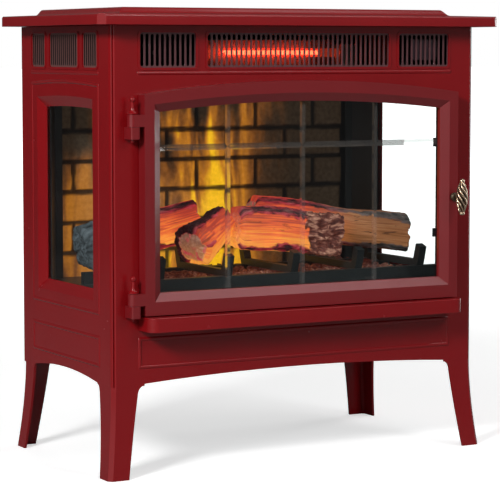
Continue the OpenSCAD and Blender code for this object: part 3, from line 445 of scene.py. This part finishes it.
def aged_bronze():
    """Bronze, dark in the hollows and rubbed bright on the high parts, where worn is 1."""
    s = Shader("aged_bronze", Metallic=1.0)
    worn = s.attribute("worn")
    patch = s.noise(350, 4)
    rubbed = s.between(s.maths("ADD", worn, s.spread(patch, -0.25, 0.25)), 0.25, 0.8)
    s.set(Base_Color=s.mix(rubbed, (0.06, 0.042, 0.028), (0.62, 0.47, 0.33)),
          Roughness=s.spread(rubbed, 0.55, 0.25))
    s.bump(patch, 0.00006)
    return s.material


def glowing_wire():
    """Red-hot wire."""
    s = Shader("glowing_wire", Base_Color=(0.3, 0.05, 0.02), Emission_Strength=11.0)
    s.set(Emission_Color=s.ramp(s.noise(30), (0.3, (1.0, 0.05, 0.018)), (0.7, (1.0, 0.075, 0.03))))
    return s.material


def quartz_glass():
    """Clear quartz lit red from inside."""
    s = Shader("quartz_glass", Base_Color=(0.9, 0.4, 0.3), Roughness=0.1, Alpha=0.35,
               Emission_Strength=0.3)
    s.set(Emission_Color=s.ramp(s.noise(60), (0.3, (0.6, 0.04, 0.01)), (0.7, (0.9, 0.07, 0.02))))
    return s.material


def pale_floor():
    """White where the camera sees it, whiter still far away, and dim in reflections."""
    s = Shader("floor", Roughness=0.9, Emission_Color=(1.0, 1.0, 1.0))
    away = s.node("VectorMath", {0: s.place}, operation="LENGTH").outputs["Value"]
    s.set(Base_Color=s.ramp(s.noise(3), (0.3, (0.84, 0.84, 0.84)), (0.7, (0.87, 0.87, 0.87))),
          Emission_Strength=s.maths("ADD", s.between(away, 1.0, 5.0), 0.55))
    dim = s.node("BsdfDiffuse", {"Color": s.ramp(s.noise(3), (0.3, (0.26, 0.26, 0.26)),
                                                 (0.7, (0.29, 0.29, 0.29)))}).outputs[0]
    path = s.node("LightPath").outputs
    seen = s.maths("MAXIMUM", path["Is Camera Ray"], path["Is Transmission Ray"])
    s.plug(s.output.inputs["Surface"],
           s.node("MixShader", {0: seen, 1: dim, 2: s.surface.outputs[0]}).outputs[0])
    return s.material


finishes = {
    "red_paint": enamel("red_enamel", (0.26, 0.0045, 0.0070), (0.235, 0.0038, 0.0062)),
    # front grilles: the last colour is painted shade on the slot walls
    "grille_paint": barred("front_grille_enamel", "Y", (0.115, 0.042, 0.047), (0.06, 0.024, 0.026)),
    "black_sheet": satin("black_enamel", (0.007, 0.009, 0.0095), 0.42),
    "zinc_steel": brushed("zinc_plate", (0.5, 0.5, 0.51), 0.35),
    "window_glass": clear_glass(),
    "brick": brick(),
    "grate_black": satin("cast_black", (0.005, 0.0085, 0.0095), 0.45, grain=500, depth=0.00012),
    "embers": ember(),
    "log_bark": log_wood("log_wood"),
    "circuit_board": circuit_board("control_circuit", 0.5222, (0.03, 0.03, 0.03)),
    "bright_reflector": brushed("polished_aluminium", (0.38, 0.36, 0.36), 0.42),
    "quartz": quartz_glass(),
    "ceramic_white": satin("ceramic", (0.6, 0.56, 0.5), 0.7),
    "dark_lens": dark_lens(),
    "black_plastic": satin("black_plastic", (0.012, 0.012, 0.013), 0.5),
    "aged_bronze": aged_bronze(),
    "grey_plastic": satin("grey_plastic", (0.3, 0.3, 0.31), 0.45),
    "red_plastic": satin("red_plastic", (0.5, 0.01, 0.008), 0.25),
}
slot_of = {part["node"]: part["material_slot"] for part in frame["record"]["subparts"]}


# ---- Building pieces ----

def add_piece(name, mesh, body, slot, material=None):
    """Puts a finished mesh in the scene as a piece that rides on a CAD body."""
    piece = bpy.data.objects.new(name, mesh)
    scene.collection.objects.link(piece)
    mesh.materials.clear()
    mesh.materials.append(material or finishes[slot])
    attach(piece, body)
    return piece


def mesh_from(name, verts, faces, smooth_angle=40):
    mesh = bpy.data.meshes.new(name)
    mesh.from_pydata([tuple(v) for v in verts], [], faces)
    mesh.validate()
    bm = bmesh.new()
    bm.from_mesh(mesh)
    bmesh.ops.recalc_face_normals(bm, faces=bm.faces)
    bm.to_mesh(mesh)
    bm.free()
    mesh.shade_smooth()
    mesh.set_sharp_from_angle(angle=math.radians(smooth_angle))
    return mesh


def store(mesh, name, values, kind="FLOAT"):
    """Keeps one value or vector per vertex for a material to read."""
    attribute = mesh.attributes.new(name, kind, "POINT")
    if kind == "FLOAT":
        attribute.data.foreach_set("value", values)
    else:
        attribute.data.foreach_set("vector", [c for v in values for c in v])


def rounded(node, width, segments=2, material=None):
    """A copy of a CAD node with rounded edges, which stands for the node."""
    source = frame["nodes"][node]
    bm = bmesh.new()
    bm.from_mesh(source.data)
    bmesh.ops.remove_doubles(bm, verts=bm.verts, dist=2e-6)
    bmesh.ops.dissolve_limit(bm, angle_limit=math.radians(0.2), verts=bm.verts, edges=bm.edges)
    bm.verts.index_update()
    mesh = mesh_from(node + "_shape", [v.co for v in bm.verts],
                     [[v.index for v in f.verts] for f in bm.faces], 30)
    bm.free()
    piece = add_piece(node + "_finished", mesh, source["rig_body"], slot_of[node],
                      material)
    bevel = piece.modifiers.new("round_edges", "BEVEL")
    bevel.width = width
    bevel.segments = segments
    bevel.limit_method = "ANGLE"
    bevel.angle_limit = math.radians(30)
    bevel.harden_normals = True
    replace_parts(piece, node)
    return piece


def tube(verts, faces, points, radii, sides=8):
    """Adds a closed tube along points to lists of vertices and faces."""
    start = len(verts)
    side = Vector((0.3, 0.5, 0.81))
    for i, point in enumerate(points):
        ahead = points[min(i + 1, len(points) - 1)] - points[max(i - 1, 0)]
        ahead.normalize()
        side = (side - side.dot(ahead) * ahead).normalized()
        other = ahead.cross(side)
        for k in range(sides):
            angle = 2 * math.pi * k / sides
            verts.append(point + radii[i] * (math.cos(angle) * side + math.sin(angle) * other))
    for i in range(len(points) - 1):
        for k in range(sides):
            a, b = start + i * sides + k, start + i * sides + (k + 1) % sides
            faces.append([a, b, b + sides, a + sides])
    faces.append([start + k for k in range(sides)][::-1])
    last = start + (len(points) - 1) * sides
    faces.append([last + k for k in range(sides)])


def lathe(verts, faces, profile, centre, axis, sides=32):
    """Adds the closed solid of a profile of (radius, distance along axis) points."""
    axis = Vector(axis).normalized()
    side = axis.orthogonal().normalized()
    other = axis.cross(side)
    start = len(verts)
    for radius, along in profile:
        for k in range(sides):
            angle = 2 * math.pi * k / sides
            verts.append(Vector(centre) + along * axis
                         + radius * (math.cos(angle) * side + math.sin(angle) * other))
    for i in range(len(profile) - 1):
        for k in range(sides):
            a, b = start + i * sides + k, start + i * sides + (k + 1) % sides
            faces.append([a, b, b + sides, a + sides])
    faces.append([start + k for k in range(sides)][::-1])
    last = start + (len(profile) - 1) * sides
    faces.append([last + k for k in range(sides)])


def smooth_step(value, low, high):
    t = min(1, max(0, (value - low) / (high - low)))
    return t * t * (3 - 2 * t)


# ---- Painted steel ----

door_enamel = enamel("door_enamel", (0.21, 0.0085, 0.0115), (0.19, 0.0075, 0.0105), 0.3, 0.6)
rounded("top_panel", 0.0004)
rounded("hearth_ledge", 0.0009, 3)
rounded("door_frame", 0.0009, 3, door_enamel)
rounded("hinge_brackets", 0.0009, 3, door_enamel)
for node in ("front_left_leg", "front_right_leg", "rear_left_leg", "rear_right_leg"):
    rounded(node, 0.0008, 3)
for node in ("left_front_grille", "centre_front_grille", "right_front_grille"):
    rounded(node, 0.0003)
# side grilles: the last colour is painted shade on the slot walls
side_enamel = barred("side_grille_enamel", "X", (0.150, 0.065, 0.060), (0.021, 0.010, 0.009))
for node in ("left_side_grille", "right_side_grille"):
    rounded(node, 0.0003, 2, side_enamel)
rounded("log_grate", 0.0009, 3)
for node in ("left_liner", "right_liner"):
    rounded(node, 0.0005)


def make_arch_bead(name, side):
    """The embossed bead over a side window, laid on its CAD rib. side is -1 or 1."""
    half, top, radius = 0.107, 0.512, 1.433
    out, thickness, steps = 0.2771, 0.0023, 60
    low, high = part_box("left_window")
    middle = (low.y + high.y) / 2
    points = []
    for i in range(steps + 1):
        offset = half * (2 * i / steps - 1)
        points.append(Vector((side * out, middle + offset,
                              top - radius + math.sqrt(radius ** 2 - offset ** 2))))
    verts, faces = [], []
    tube(verts, faces, points, [thickness] * len(points), 16)
    add_piece(name, mesh_from(name + "_shape", verts, faces), "root", "red_paint")


make_arch_bead("left_arch_bead", -1)
make_arch_bead("right_arch_bead", 1)


# ---- Bricks ----

brick_pitch = 0.097


def brick_joints():
    """For each course, the height of its bed joint and the places of its upright joints."""
    first_bed, course_pitch = 0.4405, 0.0428
    even, odd = -0.013, -0.0605
    return [(first_bed + row * course_pitch,
             [(even if row % 2 == 0 else odd) + k * brick_pitch for k in range(-3, 4)])
            for row in range(-5, 3)]


def make_bricks():
    """A relief of brick faces with sunk joints, closed to a solid at the panel's rear."""
    low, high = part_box("brick_panel")
    step, joint_depth = 0.0021, 0.0027
    across = round((high.x - low.x) / step)
    up = round((high.z - low.z) / step)
    courses = brick_joints()
    verts, faces, face_mask, tones = [], [], [], []
    for j in range(up + 1):
        for i in range(across + 1):
            x = low.x + (high.x - low.x) * i / across
            z = low.z + (high.z - low.z) * j / up
            wobble = noise.noise(Vector((x * 60, 3, z * 60))) * 0.0011
            course = sum(1 for height, _ in courses if height < z) - 1
            bed = min(abs(z - height) for height, _ in courses)
            upright = min(abs(x - place) for place in courses[course][1])
            mask = smooth_step(min(bed, upright) + wobble, 0.0024, 0.0046)
            pit = noise.fractal(Vector((x * 90, 7, z * 90)), 0.9, 2.2, 4) * 0.0005 + 0.0006
            brick_index = math.floor((x - courses[course][1][0]) / brick_pitch)
            tones.append((noise.noise(Vector((brick_index * 1.7, course * 2.3, 0.5))) + 1) / 2)
            face_mask.append(mask)
            verts.append((x, low.y + max(0, pit) * mask + joint_depth * (1 - mask), z))
    row = across + 1
    for j in range(up):
        for i in range(across):
            a = j * row + i
            faces.append([a, a + 1, a + row + 1, a + row])
    rim = (list(range(row)) + [j * row + across for j in range(1, up + 1)]
           + [up * row + i for i in range(across - 1, -1, -1)]
           + [j * row for j in range(up - 1, 0, -1)])
    back = len(verts)
    for i in rim:
        verts.append((verts[i][0], high.y, verts[i][2]))
    for k in range(len(rim)):
        n = (k + 1) % len(rim)
        faces.append([rim[n], rim[k], back + k, back + n])
    faces.append([back + k for k in range(len(rim))])
    mesh = mesh_from("bricks", verts, faces)
    store(mesh, "face", face_mask + [0.0] * len(rim))
    store(mesh, "tone", tones + [0.5] * len(rim))
    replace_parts(add_piece("bricks", mesh, "root", "brick"), "brick_panel")


make_bricks()


# ---- Logs ----

def make_log(name, a, b, radii, cuts, material, seed, torn_from=2.0):
    """A split log from a to b, with the radius at each. cuts are (angle, share of the radius)
    of its flat faces, with angle 0 facing the front and 90 degrees up. From torn_from, a share
    of its length, it is rugged all round. seed picks its bark, bends and fibres."""
    a, b = Vector(a), Vector(b)
    axis = (b - a).normalized()
    up = (Vector((0, 0, 1)) - axis.z * axis).normalized()
    front = axis.cross(up)
    if front.y > 0:
        front = -front
    length = (b - a).length
    ring_step, end_round = 0.0014, 0.005
    rings, sides = round(length / ring_step), 96
    flats = [(math.radians(angle), share) for angle, share in cuts]
    shift = Vector((seed * 3.1, seed * 1.7, seed * 2.3))
    verts, faces, bark, lift, end, grain = [], [], [], [], [], []
    for i in range(rings + 1):
        along = i / rings * length
        edge = min(along, length - along) / end_round
        close = 1 if edge >= 1 else math.sqrt(max(0.0, 1 - (1 - edge) ** 2)) * 0.25 + 0.75
        outward = -1 if along < length / 2 else 1
        bend = noise.noise(Vector((along * 11, seed, 0))) * 0.1
        sway = (up * noise.noise(Vector((along * 10, seed, 5)))
                + front * noise.noise(Vector((along * 10, seed, 9)))) * 0.0035
        torn = smooth_step(i / rings, torn_from, torn_from + 0.06)
        radius = radii[0] + (radii[1] - radii[0]) * i / rings
        for k in range(sides):
            angle = 2 * math.pi * k / sides
            ray = math.cos(angle) * front + math.sin(angle) * up
            spot = a + axis * along + ray * radius
            whole = 1 + noise.noise(spot * 24 + shift) * 0.13
            flat = min(distance * (1 + bend) / max(0.2, math.cos(angle - turn))
                       for turn, distance in flats)
            ragged = noise.fractal(Vector((along * 70, math.cos(angle) * 3, math.sin(angle) * 3))
                                   + shift, 0.8, 2.1, 3)
            depth = min(1, max(0, 0.5 + (flat - whole) * 1.6 + ragged * 0.1))
            furrow = noise.fractal(Vector((along * 50, math.cos(angle) * 6.5,
                                           math.sin(angle) * 6.5)) + shift, 0.75, 2.1, 5)
            fibre = noise.noise(Vector((along * 26, angle * 22, seed * 5))) * 0.6
            fibre += noise.noise(Vector((along * 60, angle * 60, seed * 9))) * 0.4
            crust = smooth_step(depth, 0.4, 0.62)
            relief = (0.0024 * furrow + 0.0006) * crust + 0.0011 * fibre * (1 - crust)
            if torn > 0:
                relief += torn * 0.0045 * noise.fractal(spot * 75 + shift, 0.7, 2.1, 5)
            broken = noise.fractal(ray * 2.2 + shift, 0.8, 2.2, 3) * 0.004
            verts.append(a + axis * (along + outward * broken * max(0, 1 - edge / 2)) + sway
                         + ray * (radius * min(whole, flat) * close + relief))
            bark.append(depth)
            height = min(whole, flat) * math.sin(angle)
            lift.append(min(1, max(0, (height + 0.75) / 1.45)))
            end.append(0.0)
            grain.append((along, math.cos(angle) * radius * min(whole, flat),
                          math.sin(angle) * radius * min(whole, flat)))
    for i in range(rings):
        for k in range(sides):
            n = (k + 1) % sides
            faces.append([i * sides + k, i * sides + n, (i + 1) * sides + n, (i + 1) * sides + k])
    for i, outward in ((0, -axis), (rings, axis)):
        previous = [i * sides + k for k in range(sides)]
        ring = previous
        middle = sum((verts[v] for v in ring), Vector()) / sides
        for share in (0.88, 0.74, 0.6, 0.46, 0.32, 0.18, 0.06):
            inner = []
            for v in ring:
                spot = middle + (verts[v] - middle) * share
                lump = noise.fractal(spot * 120 + shift, 0.8, 2.1, 5) * 0.0028
                verts.append(spot + outward * (lump + 0.002 * (1 - share)))
                inner.append(len(verts) - 1)
                bark.append(bark[v] * max(0, share - 0.84) * 5)
                lift.append(lift[v] * share + 0.5 * (1 - share))
                end.append(1.0)
                grain.append((grain[v][0], grain[v][1] * share, grain[v][2] * share))
            for k in range(sides):
                n = (k + 1) % sides
                faces.append([previous[k], previous[n], inner[n], inner[k]])
            previous = inner
        faces.append(previous)
    mesh = mesh_from(name + "_shape", verts, faces, 180)
    for key, values in (("bark", bark), ("lift", lift), ("end", end)):
        store(mesh, key, values)
    store(mesh, "grain", grain, "FLOAT_VECTOR")
    return add_piece(name, mesh, "root", "log_bark", material)


def make_logs():
    glowing = finishes["log_bark"]
    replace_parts(make_log("left_rear_log_finished", (-0.231, 0.072, 0.281), (-0.062, 0.062, 0.318),
                         (0.037, 0.030), [(8, 0.78), (-95, 0.72), (100, 0.9)],
                         log_wood("left_rear_log_wood", cold_below=-0.222), 1),
                "left_rear_log")
    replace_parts(make_log("left_front_log_finished", (-0.128, -0.062, 0.291),
                         (-0.060, -0.022, 0.320), (0.030, 0.020),
                         [(38, 0.82), (-25, 0.84), (-90, 0.9)], glowing, 2),
                "left_front_log")
    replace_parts(make_log("centre_log_finished", (-0.053, -0.036, 0.311), (0.106, -0.042, 0.297),
                         (0.034, 0.034), [(0, 0.78), (-95, 0.75), (95, 0.9)],
                         log_wood("centre_log_wood", rough_from=0.047, end_glow=0.8), 3, 0.62),
                "centre_log")
    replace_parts(make_log("right_log_finished", (0.018, 0.046, 0.322), (0.249, 0.004, 0.290),
                         (0.030, 0.030), [(5, 0.76), (-95, 0.78), (88, 0.92)],
                         log_wood("right_log_wood", natural_from=0.08), 4),
                "right_log")


make_logs()


# ---- Embers ----

def make_embers():
    """Coals of random shape heaped over the two strips of the bed, clear of the grate."""
    low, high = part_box("ember_bed")
    bars = (-0.188, -0.086, 0.016, 0.118, 0.220)
    bar_half, bar_bottom, heap = 0.0055, 0.2513, 0.012
    dice = random.Random(11)
    verts, faces, heat = [], [], []
    ball = bmesh.new()
    bmesh.ops.create_icosphere(ball, subdivisions=2, radius=1)
    ball.verts.index_update()
    shape = [v.co.copy() for v in ball.verts]
    shape_faces = [[v.index for v in f.verts] for f in ball.faces]
    ball.free()
    strips = ((-0.069, 0.048, 560), (0.064, 0.088, 130))
    for front, rear, count in strips:
        for i in range(count):
            size = dice.uniform(0.0045, 0.0095)
            place = Vector((dice.uniform(low.x + 0.008, high.x - 0.008),
                            dice.uniform(front + size * 0.6, rear - size * 0.6),
                            low.z + dice.uniform(0.35, 0.95) * heap))
            turn = Matrix.Rotation(dice.uniform(0, 6.28), 3, "Z") @ Matrix.Rotation(
                dice.uniform(0, 3.14), 3, "X")
            squash = Vector((1, dice.uniform(0.6, 0.95), dice.uniform(0.5, 0.85)))
            glow = 0.45 * smooth_step(dice.random(), 0.55, 0.9)
            under_bar = any(abs(place.x - bar) < bar_half + size for bar in bars)
            start = len(verts)
            for v in shape:
                lump = 1 + 0.35 * noise.noise(v * 1.9 + Vector((i, front * 50, 0)))
                lump += 0.16 * noise.noise(v * 4.7 + Vector((0, i, 3)))
                spot = place + turn @ Vector((v.x * squash.x, v.y * squash.y,
                                              v.z * squash.z)) * size * lump
                spot.z = max(low.z, spot.z)
                if under_bar:
                    spot.z = min(bar_bottom - 0.0005, spot.z)
                verts.append(spot)
                # painted glow: strong low in the heap, weaker higher up, a little stronger on each
                # coal's top, with a random extra on some coals
                heat.append(0.95 - 0.6 * smooth_step(spot.z, low.z + 0.004, low.z + 0.018)
                            + 0.15 * v.z + glow)
            faces += [[start + n for n in face] for face in shape_faces]
    mesh = mesh_from("coals", verts, faces, 50)
    store(mesh, "heat", heat)
    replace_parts(add_piece("coals", mesh, "root", "embers"), "ember_bed")


make_embers()


# ---- Handle ----

def make_handle():
    """A turning handle whose grip is a spiral basket of ribs round a dark core."""
    low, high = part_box("door_handle")
    grip_r = (high.x - low.x) / 2
    centre = Vector(((low.x + high.x) / 2, low.y + grip_r, 0.352))
    door_front = Vector((centre.x, -0.1443, centre.z))
    verts, faces, worn = [], [], []

    def mark(value):
        worn.extend([value] * (len(verts) - len(worn)))

    ribs, turns, half = 7, 0.62, 0.0205
    for rib in range(ribs):
        points, radii = [], []
        for i in range(33):
            t = i / 32
            reach = 0.0022 + (grip_r - 0.0037) * math.sin(math.pi * t) ** 0.75
            angle = 2 * math.pi * (rib / ribs + turns * t)
            points.append(centre + Vector((reach * math.cos(angle), reach * math.sin(angle),
                                           half * (1 - 2 * t))))
            radii.append(0.00105 + 0.0004 * math.sin(math.pi * t))
        tube(verts, faces, points, radii, 8)
    mark(1.0)
    lathe(verts, faces, [(0.0008, -0.019), (0.003, -0.014), (0.0048, 0), (0.003, 0.014),
                         (0.0008, 0.019)], centre, (0, 0, 1), 20)
    mark(0.0)
    ball = [(0.0034 * math.sin(math.radians(a)) + 0.0001, 0.0034 * -math.cos(math.radians(a)))
            for a in range(0, 181, 15)]
    lathe(verts, faces, ball, centre + Vector((0, 0, 0.0226)), (0, 0, 1), 20)
    lathe(verts, faces, [(0.0005, -0.0245), (0.0032, -0.0236), (0.0040, -0.0215),
                         (0.0030, -0.0195), (0.0005, -0.0185)], centre, (0, 0, 1), 20)
    mark(0.9)
    boss = [(0.0005, 0), (0.0035, 0.0001), (0.0056, 0.001), (0.0062, 0.003), (0.0060, 0.0052),
            (0.0048, 0.0068), (0.0034, 0.0074), (0.0031, 0.0135), (0.0034, 0.018)]
    lathe(verts, faces, boss, door_front, (0, -1, 0), 28)
    mark(0.35)
    lathe(verts, faces, [(0.004, 0), (0.004, 0.0245)], door_front + Vector((0, 0.0005, 0)),
          (0, 1, 0), 28)
    mark(0.1)
    mesh = mesh_from("handle_shape", verts, faces, 50)
    store(mesh, "worn", worn)
    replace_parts(add_piece("handle_basket", mesh, "handle", "aged_bronze"), "door_handle")


make_handle()


# ---- Heating element ----

def make_element():
    """The coiled wire inside the quartz tube."""
    low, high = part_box("quartz_tube")
    middle, y, z = 0.004, (low.y + high.y) / 2, (low.z + high.z) / 2
    half, radius, pitch, wire = 0.073, 0.0023, 0.0034, 0.0009
    per_turn = 14
    steps = round(2 * half / pitch) * per_turn
    points = []
    for i in range(steps + 1):
        angle = 2 * math.pi * i / per_turn
        points.append(Vector((middle - half + 2 * half * i / steps,
                              y + radius * math.cos(angle), z + radius * math.sin(angle))))
    verts, faces = [], []
    tube(verts, faces, points, [wire] * len(points), 6)
    add_piece("element_wire", mesh_from("wire_shape", verts, faces), "root", "quartz",
              glowing_wire())


make_element()


# ---- The CAD nodes that stay ----

warm_lamp = (0.9, 0.75, 0.5)
dark_zinc = brushed("dark_zinc", (0.05, 0.05, 0.052), 0.5)
special = {
    "heater_duct": dark_zinc,
    "blower_housing": dark_zinc,
    "blower_motor": dark_zinc,
    "tube_holders": satin("shaded_ceramic", (0.16, 0.15, 0.13), 0.7),
    "flame_light_board": circuit_board("flame_circuit", 0.1698, warm_lamp),
    "ember_light_board": circuit_board("ember_circuit", 0.2068, warm_lamp),
}
for name, node in frame["nodes"].items():
    node.data.materials.clear()
    node.data.materials.append(special.get(name) or finishes[slot_of[name]])


# ---- The floor and the last lines ----

def make_floor(reach):
    mesh = bpy.data.meshes.new("floor")
    mesh.from_pydata([(-reach, -reach, 0), (reach, -reach, 0), (reach, reach, 0),
                      (-reach, reach, 0)], [], [[0, 1, 2, 3]])
    floor = bpy.data.objects.new("floor", mesh)
    floor.location.z = cad_low.z
    scene.collection.objects.link(floor)
    mesh.materials.append(pale_floor())


make_floor(60)
